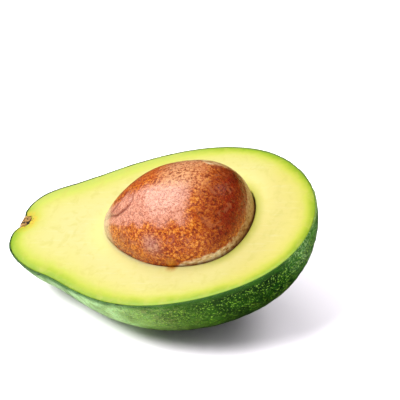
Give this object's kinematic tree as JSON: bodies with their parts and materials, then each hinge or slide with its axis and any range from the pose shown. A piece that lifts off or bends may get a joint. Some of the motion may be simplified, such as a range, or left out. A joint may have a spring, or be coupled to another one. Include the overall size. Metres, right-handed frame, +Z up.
{
  "type": "avocado half with its seed",
  "caption": "Half of a green-skinned avocado lying on its skin, cut face up, with the round brown seed still in its hollow and the stem's woody base in its notch.",
  "frame": {"origin": "middle of the footprint, on the surface that the half rests on", "axes": "+Z up, out of the cut face to within 19 degrees; +X along the fruit, from the stem end to the blunt end; +Y across it"},
  "size_m": [0.1086, 0.0744, 0.058],
  "materials": {
    "skin_green": "thin waxy rind, mid to dark green, finely pebbled, with small yellow-green speckles and a soft shine",
    "flesh_yellow": "moist buttery flesh, pale yellow in the middle and green towards the skin, with a faint sheen",
    "seed_brown": "thin papery coat, orange-brown to dark red-brown, finely mottled and wrinkled, softly glossy",
    "stem_brown": "cut woody stem, tan to dark brown, dry and matt"
  },
  "bodies": {
    "root": {"skin": "skin_green", "flesh": "flesh_yellow", "seed": "seed_brown", "stem_base": "stem_brown"}
  },
  "joints": []
}
